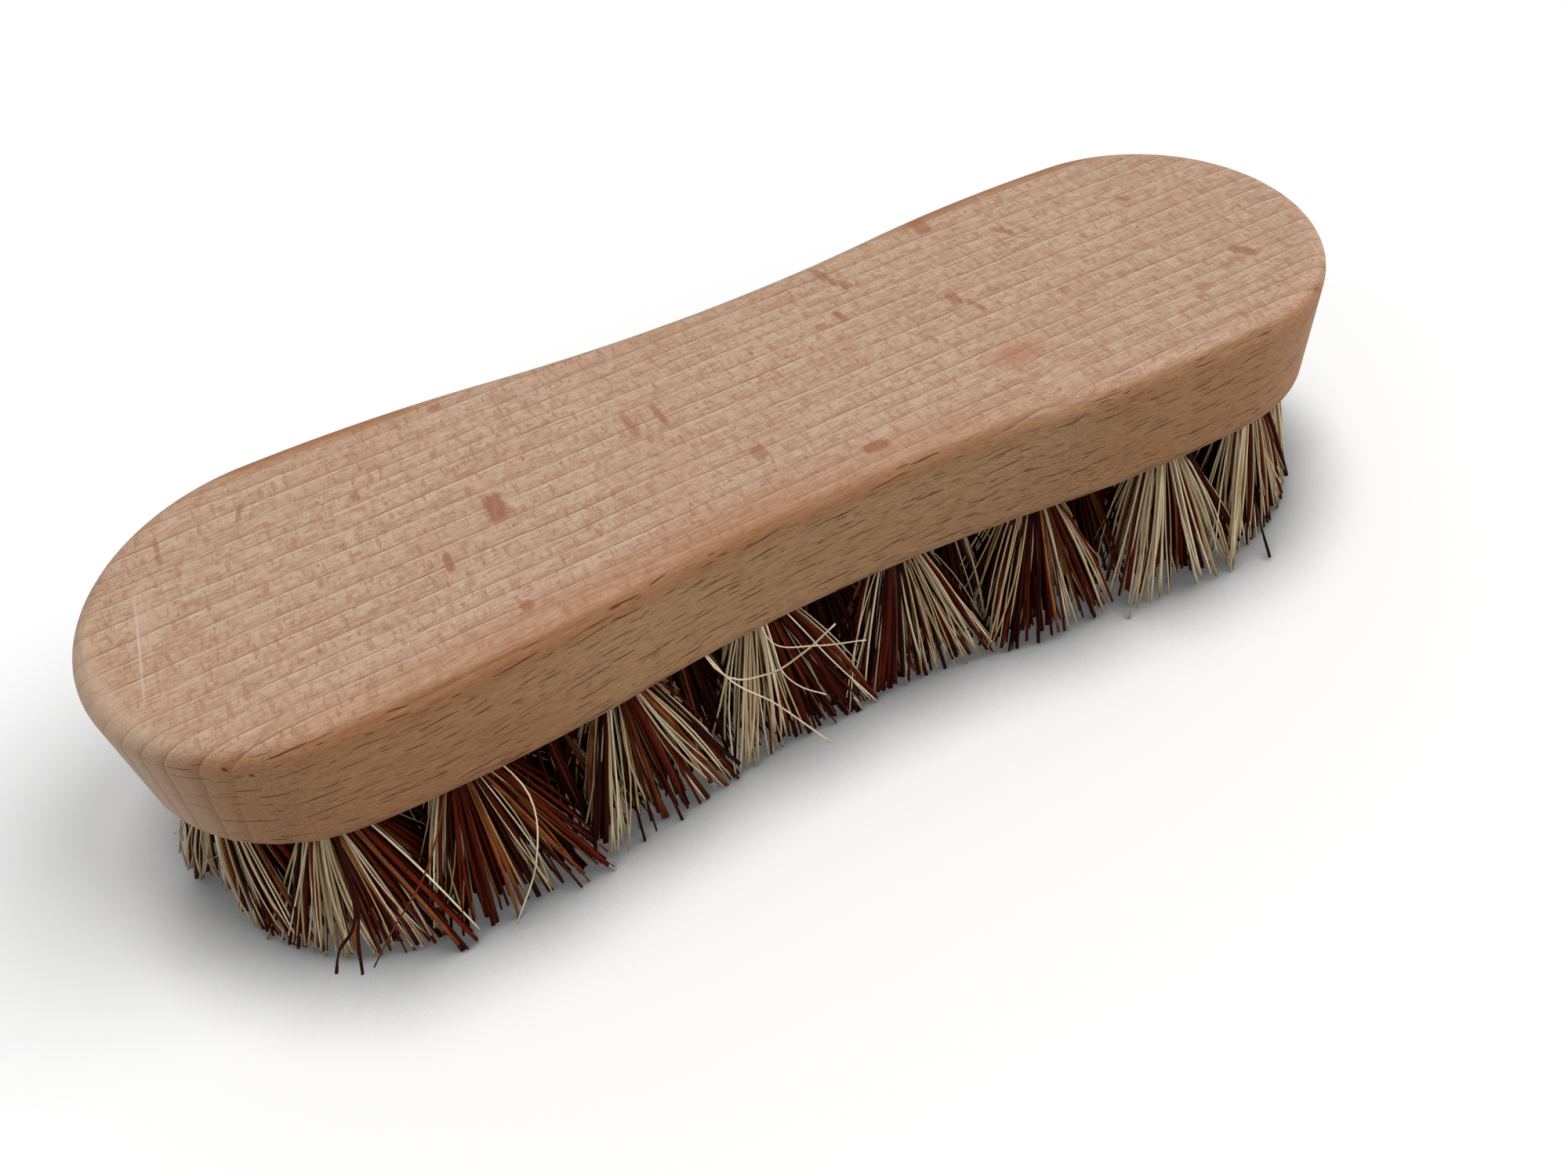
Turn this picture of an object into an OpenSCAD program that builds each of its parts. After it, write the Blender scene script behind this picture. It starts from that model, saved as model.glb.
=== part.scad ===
// Scrub brush: a waisted beech block, bored from below with blind holes.
// Each hole holds one tuft of stiff plant fibre, folded over a wire staple.
// Units are millimetres. The brush stands on its trimmed fibre tips at z = 0,
// its length runs along X and the flat back of the block faces +Z.

/* [Block] */
// Length of the block
block_l = 200; // [190:1:212]
// Width across the two bulges
block_w = 58.3; // [56:0.1:62]
// Width at the waist
waist_w = 50.1; // [47:0.1:53]
// Thickness of the block
block_t = 20.6; // [19:0.1:26]
// Distance of each bulge from the middle of the block
bulge_x = 62.5; // [60:0.5:65]
// Radius of the long curve over each bulge
bulge_r = 220; // [200:5:240]
// Radius of the round-over along the top edge
top_round = 3.5; // [2:0.1:5]
// Size of the broken edge round the underside
edge_break = 0.5; // [0.3:0.1:0.8]

/* [Holes] */
// Diameter of each tuft hole
hole_d = 5.2; // [4.8:0.1:5.6]
// Depth of each tuft hole up to the drill's point
hole_depth = 13; // [11:0.5:14]
// Spacing of the holes along a row
pitch = 24; // [23.5:0.1:24.5]
// Distance from the outer ring of holes to the edge of the block
edge_margin = 7; // [6.6:0.1:7.6]

/* [Fibre] */
// Length of fibre that stands out of the block
trim_l = 27; // [22:0.5:32]
// Strands in the heart of a tuft
heart_strands = 4; // [3:1:4]
// Strands round the outside of a tuft
rim_strands = 7; // [5:1:7]
// Width of a strand where it leaves its hole
root_w = 0.7; // [0.5:0.05:0.7]
// Width of a strand at its cut tip
tip_w = 1.5; // [1:0.05:1.8]
// How far the tips of a tuft splay along its row
splay_along = 9.2; // [6:0.1:9.6]
// How far the tips of a tuft splay across its row
splay_across = 5.2; // [3:0.1:5.6]
// How far the outer tufts lean out past their holes
outer_lean = 3; // [0:0.1:3.5]

/* [Staples] */
// Diameter of the staple wire
wire_d = 0.9; // [0.7:0.05:1]
// Distance between the two legs of a staple
leg_gap = 3.5; // [3:0.1:3.6]
// How far the legs are driven into the wood past the hole
leg_bite = 3.5; // [2.5:0.1:4]
// Thickness of the folded fibre between the staple and the hole's end
fold_t = 3.8; // [3:0.1:5]

/* [Hidden] */
$fn = 48;
arc_step_end = 4;
arc_step_long = 1.7;
round_steps = 6;
drill_point_angle = 118;
strand_depth = 0.8;
root_rim_r = 1.72;
root_heart_r = 0.76;
heart_share = 0.42;
jitter = 0.05;
seed = 41;

half_l = block_l / 2;
half_w = block_w / 2;
half_waist = waist_w / 2;
top_z = trim_l + block_t;
hole_r = hole_d / 2;
wire_r = wire_d / 2;

// The outline is three tangent arcs in each quarter: round the end, over the
// bulge and through the waist. Each radius follows from the sizes above.
bulge_c = [bulge_x, half_w - bulge_r];
end_reach = half_l - bulge_x;
end_r = (2 * half_w * bulge_r - pow(half_w, 2) - pow(end_reach, 2)) / (2 * (bulge_r - end_reach));
end_c = [half_l - end_r, 0];
draw_in = half_w - half_waist;
waist_r = (pow(bulge_x, 2) + pow(draw_in, 2)) / (2 * draw_in) - bulge_r;
waist_c = [0, half_waist + waist_r];
end_turn = atan2(end_c[1] - bulge_c[1], end_c[0] - bulge_c[0]);
waist_turn = atan2(waist_c[1] - bulge_c[1], waist_c[0] - bulge_c[0]);

// Points of an arc from angle a0 towards a1, without its last point
function arc(c, r, a0, a1, step) =
    let (n = ceil(abs(a1 - a0) / step))
    [for (i = [0 : n - 1]) let (a = a0 + (a1 - a0) * i / n) c + r * [cos(a), sin(a)]];

// One quarter of the outline, drawn in by inset, from the end to the waist
function quarter(inset) = concat(
    arc(end_c, end_r - inset, 0, end_turn, arc_step_end),
    arc(bulge_c, bulge_r - inset, end_turn, waist_turn, arc_step_long),
    arc(waist_c, waist_r + inset, waist_turn - 180, -90, arc_step_long)
);

// The whole outline, counterclockwise from the middle of the +X end
function outline(inset) =
    let (q = quarter(inset), n = len(q), mid = [0, half_waist - inset], far = [half_l - inset, 0])
    concat(
        q,
        [mid],
        [for (i = [n - 1 : -1 : 1]) [-q[i][0], q[i][1]]],
        [-far],
        [for (i = [1 : n - 1]) -q[i]],
        [-mid],
        [for (i = [n - 1 : -1 : 1]) [q[i][0], -q[i][1]]]
    );

// Inset and height of each layer of the block, from the underside to the back
layers = concat(
    [[edge_break, trim_l], [0, trim_l + edge_break]],
    [for (i = [0 : round_steps])
        let (a = 90 * i / round_steps)
        [top_round * (1 - cos(a)), top_z - top_round * (1 - sin(a))]]
);

// Half the width of the outline at x, drawn in by inset
function half_width(x, inset) =
    let (turn_x = bulge_x + (bulge_r - inset) * cos(waist_turn))
    x < turn_x
        ? waist_c[1] - sqrt(pow(waist_r + inset, 2) - pow(x, 2))
        : bulge_c[1] + sqrt(pow(bulge_r - inset, 2) - pow(x - bulge_x, 2));

// The tuft places in one quarter, as steps of the pitch along the length.
// Neighbouring rows are staggered by half a step.
side_steps = [0.5, 1.5, 2.5];
end_angles = [71, 30];
middle_steps = [0, 1, 2, 2.92];
centre_steps = [0.5, 1.5, 2.5, 3.38];

// Each place is [x, y, direction out of the block, lean, splay along the row]
side_places = [for (s = side_steps)
    [s * pitch, half_width(s * pitch, edge_margin), 90, outer_lean, splay_along]];
end_places = [for (a = end_angles)
    [end_c[0] + (end_r - edge_margin) * cos(a), (end_r - edge_margin) * sin(a), a, outer_lean, 0.8 * splay_along]];
middle_places = [for (s = middle_steps)
    [s * pitch, half_width(s * pitch, edge_margin) / 2, 90, 0, splay_along]];
centre_places = [for (s = centre_steps) [s * pitch, 0, 90, 0, splay_along]];

// Mirrors places into the other quarters, leaving out those that fall together
function mirror_x(p) = [-p[0], p[1], 180 - p[2], p[3], p[4]];
function mirror_y(p) = [p[0], -p[1], -p[2], p[3], p[4]];
function both_ends(list) = concat(list, [for (p = list) if (p[0] > 0) mirror_x(p)]);
function both_sides(list) = concat(list, [for (p = list) mirror_y(p)]);

outer_ring = both_sides(both_ends(concat(side_places, end_places)));
middle_ring = both_sides(both_ends(middle_places));
centre_row = both_ends(centre_places);
tufts = concat(outer_ring, middle_ring, centre_row);

function two_digits(n) = str(n < 10 ? "0" : "", n);
function names(stem, list) = [for (i = [1 : len(list)]) str(stem, two_digits(i))];
tuft_names = concat(
    names("outer_tuft_", outer_ring),
    names("middle_tuft_", middle_ring),
    names("centre_tuft_", centre_row)
);

// Beech block with a flat back, a rounded top edge and drilled blind holes
module block() {
    color([0.78, 0.63, 0.5])
    difference() {
        block_body();
        for (t = tufts) {
            translate([t[0], t[1], trim_l]) {
                tuft_hole();
                staple();
            }
        }
    }
}

// The solid block, as layers of the outline joined into one skin
module block_body() {
    rings = [for (l = layers) [for (p = outline(l[0])) [p[0], p[1], l[1]]]];
    n = len(rings[0]);
    last = len(rings) - 1;
    walls = [for (k = [0 : last - 1], i = [0 : n - 1])
        let (a = k * n + i, b = k * n + (i + 1) % n)
        each [[a, a + n, b], [b, a + n, b + n]]];
    bottom = cap(n);
    top = [for (t = cap(n)) [t[2], t[1], t[0]] + [1, 1, 1] * last * n];
    polyhedron(points = [for (r = rings) each r], faces = concat(walls, bottom, top), convexity = 4);
}

// Triangles that close a ring of n points, in strips across the width
function cap(n) = [for (i = [0 : n / 2 - 1])
    let (a = i, b = i + 1, c = (n - i - 1), d = (n - i) % n)
    each concat(a == d ? [] : [[a, b, d]], b == c ? [] : [[b, c, d]])];

// Blind hole with the cone that the drill's point leaves
module tuft_hole() {
    cylinder(h = hole_depth, r = hole_r);
    translate([0, 0, hole_depth])
        cylinder(h = hole_r / tan(drill_point_angle / 2), r1 = hole_r, r2 = 0);
}

// Hairpin staple: a bent crown over the fold, and two legs in the wood
module staple() {
    bend_r = leg_gap / 2;
    crown_z = hole_depth - fold_t + bend_r;
    translate([0, 0, crown_z]) {
        rotate([-90, 0, 90])
            rotate_extrude(angle = 180)
                translate([bend_r, 0]) circle(r = wire_r);
        for (side = [-1, 1])
            translate([0, side * bend_r, 0])
                cylinder(h = hole_depth + leg_bite - crown_z, r = wire_r);
    }
}

// All the staples, one to each tuft
module anchor_staples() {
    color([0.72, 0.73, 0.74])
    for (t = tufts)
        translate([t[0], t[1], trim_l]) staple();
}

// A strand's place in its tuft: [share of the splay, angle, distance from the axis at the root]
function strand_places(k) =
    let (turn = rands(0, 360, 2, seed + k), wobble = rands(-jitter, jitter, heart_strands + rim_strands, seed - k))
    concat(
        [for (i = [0 : heart_strands - 1])
            [heart_share + wobble[i], turn[0] + 360 * i / heart_strands, root_heart_r]],
        [for (i = [0 : rim_strands - 1])
            [1 - jitter + wobble[heart_strands + i], turn[1] + 360 * i / rim_strands, root_rim_r]]
    );

// Root and tip of each strand in tuft k, measured from the mouth of its hole
function strand_ends(k) =
    let (t = tufts[k], out = [cos(t[2]), sin(t[2])], along = [-out[1], out[0]])
    [for (s = strand_places(k))
        let (u = cos(s[1]), v = sin(s[1]))
        [
            s[2] * (u * along + v * out),
            t[3] * out + s[0] * (u * t[4] * along + v * splay_across * out)
        ]];

// Four-sided strand from its root in the hole down to its flat cut tip
module strand(root, tip) {
    corners = [for (a = [0 : 90 : 270]) [cos(a), sin(a)] / sqrt(2)];
    low = [for (c = corners) let (p = tip + tip_w * c) [p[0], p[1], -trim_l]];
    high = [for (c = corners) let (p = root + root_w * c) [p[0], p[1], strand_depth]];
    sides = [for (i = [0 : 3]) let (j = (i + 1) % 4) each [[i, i + 4, j], [j, i + 4, j + 4]]];
    polyhedron(points = concat(low, high), faces = concat([[0, 1, 2], [0, 2, 3], [4, 6, 5], [4, 7, 6]], sides));
}

// One tuft: the packed root that fills its hole, cut by the staple, and its strands
module tuft(k) {
    t = tufts[k];
    color(k % 2 == 0 ? [0.66, 0.58, 0.44] : [0.42, 0.26, 0.19])
    translate([t[0], t[1], trim_l]) {
        difference() {
            cylinder(h = hole_depth, r = hole_r);
            staple();
        }
        for (s = strand_ends(k))
            strand(s[0], s[1]);
    }
}

block();
anchor_staples();
for (k = [0 : len(tufts) - 1])
    tuft(k);
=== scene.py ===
# %% [markdown]
# # A scrub brush
# The brush is a flat, waisted block of beech with tufts of stiff plant fibre underneath.
# The frame already holds the block, the wire staples and a simple solid for each tuft.
# Here the block is made again with a finer skin and drilled holes, and each tuft becomes
# a bundle of separate fibres. The staples stay as they are and get a steel finish.

import math
from types import SimpleNamespace

import bpy
import numpy as np
from mathutils import Matrix, Vector


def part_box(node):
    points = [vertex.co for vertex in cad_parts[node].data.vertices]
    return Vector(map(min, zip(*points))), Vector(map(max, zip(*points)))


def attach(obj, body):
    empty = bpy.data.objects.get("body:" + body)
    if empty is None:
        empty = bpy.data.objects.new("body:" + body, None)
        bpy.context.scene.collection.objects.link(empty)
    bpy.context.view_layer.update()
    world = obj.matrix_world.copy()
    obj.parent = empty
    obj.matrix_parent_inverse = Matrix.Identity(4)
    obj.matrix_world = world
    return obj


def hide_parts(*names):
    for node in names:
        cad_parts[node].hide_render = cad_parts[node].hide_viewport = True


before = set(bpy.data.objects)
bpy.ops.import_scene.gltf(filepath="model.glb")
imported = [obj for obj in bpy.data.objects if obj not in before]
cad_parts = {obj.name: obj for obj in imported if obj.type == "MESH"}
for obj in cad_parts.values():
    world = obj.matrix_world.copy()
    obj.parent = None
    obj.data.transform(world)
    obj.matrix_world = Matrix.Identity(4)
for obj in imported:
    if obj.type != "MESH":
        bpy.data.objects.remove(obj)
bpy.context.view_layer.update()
MM = 0.001

# %% [markdown]
# ## Sizes
# Lengths are in millimetres until a mesh is written, because that is how a brush maker
# gives them. What the frame can tell is read from it. The outline of the block is three
# tangent arcs in each quarter: round the end, over the bulge and through the waist.

# %% Sizes of the block
block_low, block_high = (np.array(corner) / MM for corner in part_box("block"))
HALF_LENGTH, HALF_WIDTH = (block_high - block_low)[:2] / 2
UNDERSIDE, BACK = block_low[2], block_high[2]
HALF_WAIST = 25.05
BULGE_X, BULGE_R = 62.5, 220.0
TOP_ROUND, EDGE_BREAK = 3.5, 0.5
HOLE_R, HOLE_DEPTH = 2.6, 13.0

bulge_centre = np.array([BULGE_X, HALF_WIDTH - BULGE_R])
end_reach = HALF_LENGTH - BULGE_X
END_R = (2 * HALF_WIDTH * BULGE_R - HALF_WIDTH**2 - end_reach**2) / (2 * (BULGE_R - end_reach))
end_centre = np.array([HALF_LENGTH - END_R, 0.0])
draw_in = HALF_WIDTH - HALF_WAIST
WAIST_R = (BULGE_X**2 + draw_in**2) / (2 * draw_in) - BULGE_R
waist_centre = np.array([0.0, HALF_WAIST + WAIST_R])
print("radii in mm: end %.1f, bulge %.1f, waist %.1f" % (END_R, BULGE_R, WAIST_R))

# %% [markdown]
# ## Camera
# A camera is placed before anything is made, so that every later choice can be judged
# through it. It stands above one end of the near side and looks down at the back of the
# block. The roll tips the brush up to the right, as a hand-held camera would.

# %% The camera
# Width of the picture and focal length in its pixels, then the direction and the place
PHOTO_WIDE = 2000
FOCAL_PIXELS = 1571.3
SENSOR_WIDE = 36
AZIMUTH, ELEVATION, ROLL = (math.radians(a) for a in (22.041, 47.676, -7.350))
CAMERA_AT = Vector((-54.18, -135.08, 136.19 + UNDERSIDE)) * MM

level_share = math.cos(ELEVATION)
backward = Vector((-math.sin(AZIMUTH) * level_share, -math.cos(AZIMUTH) * level_share, math.sin(ELEVATION)))
level = Vector((0, 0, 1)).cross(backward).normalized()
upright = backward.cross(level)
right = math.cos(ROLL) * level + math.sin(ROLL) * upright
up = -math.sin(ROLL) * level + math.cos(ROLL) * upright

lens = bpy.data.cameras.new("camera")
lens.sensor_fit = "HORIZONTAL"
lens.sensor_width = SENSOR_WIDE
lens.lens = FOCAL_PIXELS * lens.sensor_width / PHOTO_WIDE
lens.clip_start = 10 * MM
camera = bpy.data.objects.new("camera", lens)
camera.matrix_world = Matrix.Translation(CAMERA_AT) @ Matrix((right, up, backward)).transposed().to_4x4()
bpy.context.scene.collection.objects.link(camera)
bpy.context.scene.camera = camera
print("lens: %.2f mm" % lens.lens)

# %% [markdown]
# ## Shader maths in plain Python
# A finish is a tree of nodes. Writing it as expressions keeps it readable: a Wire wraps
# the output of a node, and adding or multiplying wires adds the Math nodes. Vectors go
# through Vector Math and colours through Mix, because a Math node would turn them grey.


# %% Wires and finishes
class Wire:
    """The output of a node, with the operators that the finishes use."""

    def __init__(self, finish, socket):
        self.finish, self.socket = finish, socket

    def is_vector(self):
        return self.socket.type == "VECTOR"

    def joined(self, operation, first, second):
        vector = any(isinstance(x, Wire) and x.is_vector() for x in (first, second))
        if not vector:
            return self.finish.node("ShaderNodeMath", {"operation": operation}, {0: first, 1: second})
        first, second = (x if isinstance(x, (Wire, tuple)) else (x, x, x) for x in (first, second))
        return self.finish.node("ShaderNodeVectorMath", {"operation": operation}, {0: first, 1: second})

    def __add__(self, other):
        return self.joined("ADD", self, other)

    def __radd__(self, other):
        return self.joined("ADD", other, self)

    def __sub__(self, other):
        return self.joined("SUBTRACT", self, other)

    def __rsub__(self, other):
        return self.joined("SUBTRACT", other, self)

    def __mul__(self, other):
        return self.joined("MULTIPLY", self, other)

    def __rmul__(self, other):
        return self.joined("MULTIPLY", other, self)

    def __truediv__(self, other):
        return self.joined("DIVIDE", self, other)

    def fraction(self):
        return self.finish.node("ShaderNodeMath", {"operation": "FRACT"}, {0: self})

    def absolute(self):
        return self.finish.node("ShaderNodeMath", {"operation": "ABSOLUTE"}, {0: self})

    def power(self, exponent):
        return self.finish.node("ShaderNodeMath", {"operation": "POWER"}, {0: self, 1: exponent})

    def larger(self, other):
        return self.finish.node("ShaderNodeMath", {"operation": "MAXIMUM"}, {0: self, 1: other})

    def length(self):
        return self.finish.node("ShaderNodeVectorMath", {"operation": "LENGTH"}, {0: self}, output="Value")

    def parts(self):
        return [self.finish.node("ShaderNodeSeparateXYZ", {}, {0: self}, output=i) for i in range(3)]

    def beside(self, output):
        """Another output of the same node."""
        return Wire(self.finish, self.socket.node.outputs[output])

    def between(self, low, high, start=0.0, end=1.0):
        """A smooth step from start at low to end at high."""
        sizes = {"From Min": low, "From Max": high, "To Min": start, "To Max": end}
        settings = {"interpolation_type": "SMOOTHSTEP"}
        return self.finish.node("ShaderNodeMapRange", settings, {"Value": self, **sizes})


class Finish:
    """A material under construction."""

    def __init__(self, name):
        self.material = bpy.data.materials.new(name)
        self.material.use_nodes = True
        self.tree = self.material.node_tree
        self.tree.nodes.clear()

    def node(self, kind, settings, inputs, output=0):
        """Any node: its settings come first, then the values or wires of its sockets."""
        made = self.tree.nodes.new(kind)
        for name, value in settings.items():
            if name == "stops":
                self.set_stops(made.color_ramp, value)
            else:
                setattr(made, name, value)
        for name, value in inputs.items():
            if isinstance(value, Wire):
                self.tree.links.new(value.socket, made.inputs[name])
            else:
                made.inputs[name].default_value = value
        return Wire(self, made.outputs[output])

    def set_stops(self, ramp, stops):
        """Straight steps through grey values, each stop a place from 0 to 1 and its value."""
        while len(ramp.elements) < len(stops):
            ramp.elements.new(1.0)
        for element, (at, value) in zip(ramp.elements, stops):
            element.position = at
            element.color = (value, value, value, 1)

    def vector(self, x, y, z):
        return self.node("ShaderNodeCombineXYZ", {}, {0: x, 1: y, 2: z})

    def mix(self, first, second, share, blend="MIX"):
        """The first colour where share is 0, the second where it is 1."""
        settings = {"data_type": "RGBA", "blend_type": blend}
        return self.node("ShaderNodeMix", settings, {0: share, 6: first, 7: second}, output=2)

    def noise(self, place, scale=1.0, detail=2.0, rough=0.5):
        sockets = {"Vector": place, "Scale": scale, "Detail": detail, "Roughness": rough}
        return self.node("ShaderNodeTexNoise", {}, sockets)

    def marks(self, along, across, cell, size, ragged):
        """Scattered lens-shaped marks, one in each cell. size is half the greatest length and width."""
        grid = self.vector(along / cell[0], across / cell[1], 0.0)
        settings, sockets = {"voronoi_dimensions": "2D"}, {"Vector": grid, "Scale": 1.0}
        point = self.node("ShaderNodeTexVoronoi", settings, sockets, output="Position")
        off_x, off_y, _ = (grid - point).parts()
        luck_x, luck_y, luck = point.beside("Color").parts()
        reach_x = off_x * cell[0] / (luck_x * 0.7 + 0.3) / size[0]
        reach_y = off_y * cell[1] / (luck_y * 0.6 + 0.4) / size[1]
        reach = reach_x * reach_x + reach_y * reach_y + ragged
        return reach.between(1.0, 0.55) * (luck * 0.7 + 0.3)

    def attribute(self, name, output="Fac"):
        return self.node("ShaderNodeAttribute", {"attribute_name": name}, {}, output=output)

    def bump(self, height, distance, strength=1.0):
        return self.node("ShaderNodeBump", {}, {"Strength": strength, "Distance": distance, "Height": height})

    def surface(self, sockets):
        """Ends the tree in a Principled shader and returns the material."""
        shader = self.node("ShaderNodeBsdfPrincipled", {}, sockets)
        ending = self.tree.nodes.new("ShaderNodeOutputMaterial")
        self.tree.links.new(shader.socket, ending.inputs["Surface"])
        return self.material


def srgb(red, green, blue):
    """A colour as a paint chart gives it, from 0 to 255, turned into the light it reflects."""
    share = [c / 255 for c in (red, green, blue)]
    return tuple(c / 12.92 if c <= 0.04045 else ((c + 0.055) / 1.055) ** 2.4 for c in share) + (1.0,)


print("white is", srgb(255, 255, 255))

# %% [markdown]
# ## Beech
# Beech shows three things at once: growth rings, rays and pores. A picture of wood laid
# on the faces would break at every edge, so the finish is solid: it is worked out from
# the place in the block, and each face shows the slice that it cuts. The rings are sheets
# that stand nearly upright along the block, so the back shows straight lines and the ends
# show upright bands. A ray is a thin ribbon that crosses the rings: the back cuts it
# lengthwise and shows a reddish fleck, and the sides cut it end on and show a dark dash.
# The places of the flecks and rings are lists, because no two boards have the same ones.

# %% Where the rings and the largest flecks lie
# Where each ring ends, in millimetres across the block, from the far side to the near one
RING_ENDS = (33.0, 30.2, 27.5, 24.9, 20.8, 17.6, 14.8, 12.1, 8.0, 3.9, 0.5)
RING_ENDS += (-3.4, -7.4, -10.9, -13.8, -16.4, -19.8, -22.1, -25.6, -29.4, -33.0)
# How far the rings lean with the height, bend towards one end, and wander
RING_LEAN = 0.15
RING_BEND, STRAIGHT_FROM = (0.016, 0.00009), 60.0
DRIFT, RIPPLE, KNOT_PUSH = 1.1, 0.30, 0.7

# Middle, half length along and across the grain, turn in degrees, and strength
FLECKS = (
    (-42.0, -2.8, 1.5, 3.3, 0, 1.0),
    (-44.2, -22.6, 1.0, 0.9, 0, 0.9),
    (-50.9, -9.6, 0.6, 2.1, 0, 0.9),
    (-5.8, -12.7, 1.2, 1.7, 0, 0.8),
    (-19.2, 2.9, 0.7, 4.0, 0, 0.6),
    (-14.5, 2.9, 0.55, 3.1, 4, 0.9),
    (-43.2, 23.5, 1.2, 0.9, 0, 0.7),
    (-74.2, 16.6, 0.45, 2.2, -16, 0.8),
    (-85.9, 14.6, 0.4, 3.0, 0, 0.6),
    (-58.6, 10.6, 0.55, 1.2, 0, 0.8),
    (22.6, 19.6, 0.8, 3.6, 13, 0.8),
    (24.4, 15.8, 0.9, 1.3, 5, 0.8),
    (19.5, 9.0, 0.7, 1.9, 10, 0.9),
    (15.8, 8.2, 1.0, 0.9, 0, 0.6),
    (36.6, 2.9, 1.1, 2.0, 0, 0.9),
    (38.5, -0.3, 0.5, 2.4, 12, 0.7),
    (43.1, 23.6, 1.5, 2.6, 0, 0.8),
    (53.8, 14.4, 0.8, 2.0, 28, 0.8),
    (75.6, 11.0, 0.8, 1.5, 50, 0.7),
    (81.3, -12.1, 1.1, 2.3, 35, 0.9),
    (70.2, -16.4, 1.7, 0.7, -12, 0.6),
    (51.9, -4.9, 1.1, 0.9, 0, 0.6),
    (61.9, -6.5, 1.0, 1.1, 0, 0.5),
    (8.7, -20.6, 2.0, 1.1, -6, 1.0),
)
# Pits in the wall of the left end: run from the tip, height above the floor and radius
PITS = ((31.0, 44.7, 0.55), (33.8, 43.2, 0.45))
# Middles of the knot, of the pale patch below it and of the scratch
KNOT, BLEACHED, SCRATCH = (36.4, -14.0), (39.5, -22.5), (-90.6, -2.0)
SCRATCH_LEAN = 0.065
# The haze beside the scratch: its distance from it, and its middle across the block
HAZE_BESIDE, HAZE_Y = 1.6, 2.0
# How far the dashes on the sides climb along the block
CLIMB = 0.055
print("rings:", len(RING_ENDS) - 1, "large flecks:", len(FLECKS))


# %% The rings
def ring_place(wood, x, y, z):
    """How far across the rings a place lies, and how strongly the knot shows there."""
    under_knot = y.between(KNOT[1] + 1.0, KNOT[1] - 5.0)
    feather = (x - KNOT[0]).absolute().between(4.0, 0.0) * under_knot
    back_from = STRAIGHT_FROM - x
    bend = back_from * (back_from * RING_BEND[1] + RING_BEND[0])
    drift = wood.noise(wood.vector(x * 0.045, y * 0.10, z * 0.08), detail=2.0) - 0.5
    ripple = wood.noise(wood.vector(x * 0.22, y * 0.25, z * 0.12), detail=2.0) - 0.5
    across = y + bend + (z - BACK) * RING_LEAN + drift * DRIFT + ripple * RIPPLE + feather * KNOT_PUSH
    return across, feather


def ring_turn(wood, across):
    """Runs from 0 to 1 through each ring, in the direction in which the tree grew."""
    far, near = RING_ENDS[0], RING_ENDS[-1]
    count = len(RING_ENDS) - 1
    stops = [((far - at) / (far - near), i / count) for i, at in enumerate(RING_ENDS)]
    ramp = wood.node("ShaderNodeValToRGB", {"stops": stops}, {0: (far - across) / (far - near)})
    return (ramp * count).fraction()


# %% The flecks that stand out
def large_flecks(wood, flat_place):
    """The strongest of the flecks at each place, with soft square corners."""
    most = 0.0
    for x, y, half_x, half_y, turn, strength in FLECKS:
        around = {"Location": (x, y, 0), "Rotation": (0, 0, math.radians(turn)), "Scale": (half_x, half_y, 1)}
        near = wood.node("ShaderNodeMapping", {"vector_type": "TEXTURE"}, {"Vector": flat_place, **around})
        fleck = (near * near).length().between(1.25, 0.45) * strength
        most = fleck.larger(most)
    return most


# %% [markdown]
# ## What a face of the block shows
# Every layer of the finish asks the same things about a place: where it is, which way its
# face is turned and what the rings do there. These are worked out once and kept together
# in one holder, so that each layer is short. Stretched noise gives the streaks, because
# fibres of wood are long and thin, and scattered marks give the rays.


# %% The place, its face and its rings
def place_in_wood(wood):
    """Where a place lies in millimetres, how its face is turned, and the rings there."""
    at = SimpleNamespace()
    at.place = wood.node("ShaderNodeTexCoord", {}, {}, output="Object") * (1 / MM)
    at.x, at.y, at.z = at.place.parts()
    facing_x, facing_y, at.facing_z = wood.node("ShaderNodeNewGeometry", {}, {}, output="Normal").parts()
    at.flat = at.facing_z.absolute().between(0.45, 0.95)
    at.upright = 1 - at.flat
    at.wall = facing_y.absolute().between(0.35, 0.85) * at.upright
    at.end = facing_x.absolute().between(0.45, 0.95) * at.upright
    at.side = facing_y.absolute().between(0.45, 0.8) * at.facing_z.absolute().between(0.75, 0.45)
    at.crossing = (facing_y * facing_y).between(0.95, 0.45)

    at.across, feather = ring_place(wood, at.x, at.y, at.z)
    turn = ring_turn(wood, at.across)
    firm = wood.noise(wood.vector(at.x * 0.09, at.across * 0.35, 5.0), detail=3.0)
    firm = firm.between(0.35, 0.62, 0.25, 1.0) * (1 - feather * 0.8) * at.crossing
    at.late = turn.between(0.35, 1.0)
    at.line = turn.between(0.87, 0.965) * turn.between(1.0, 0.975) * firm
    # The pale band after each ring line is partly early wood and partly a painted glint
    at.pale_line = turn.between(0.13, 0.03) * firm
    return at


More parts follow.
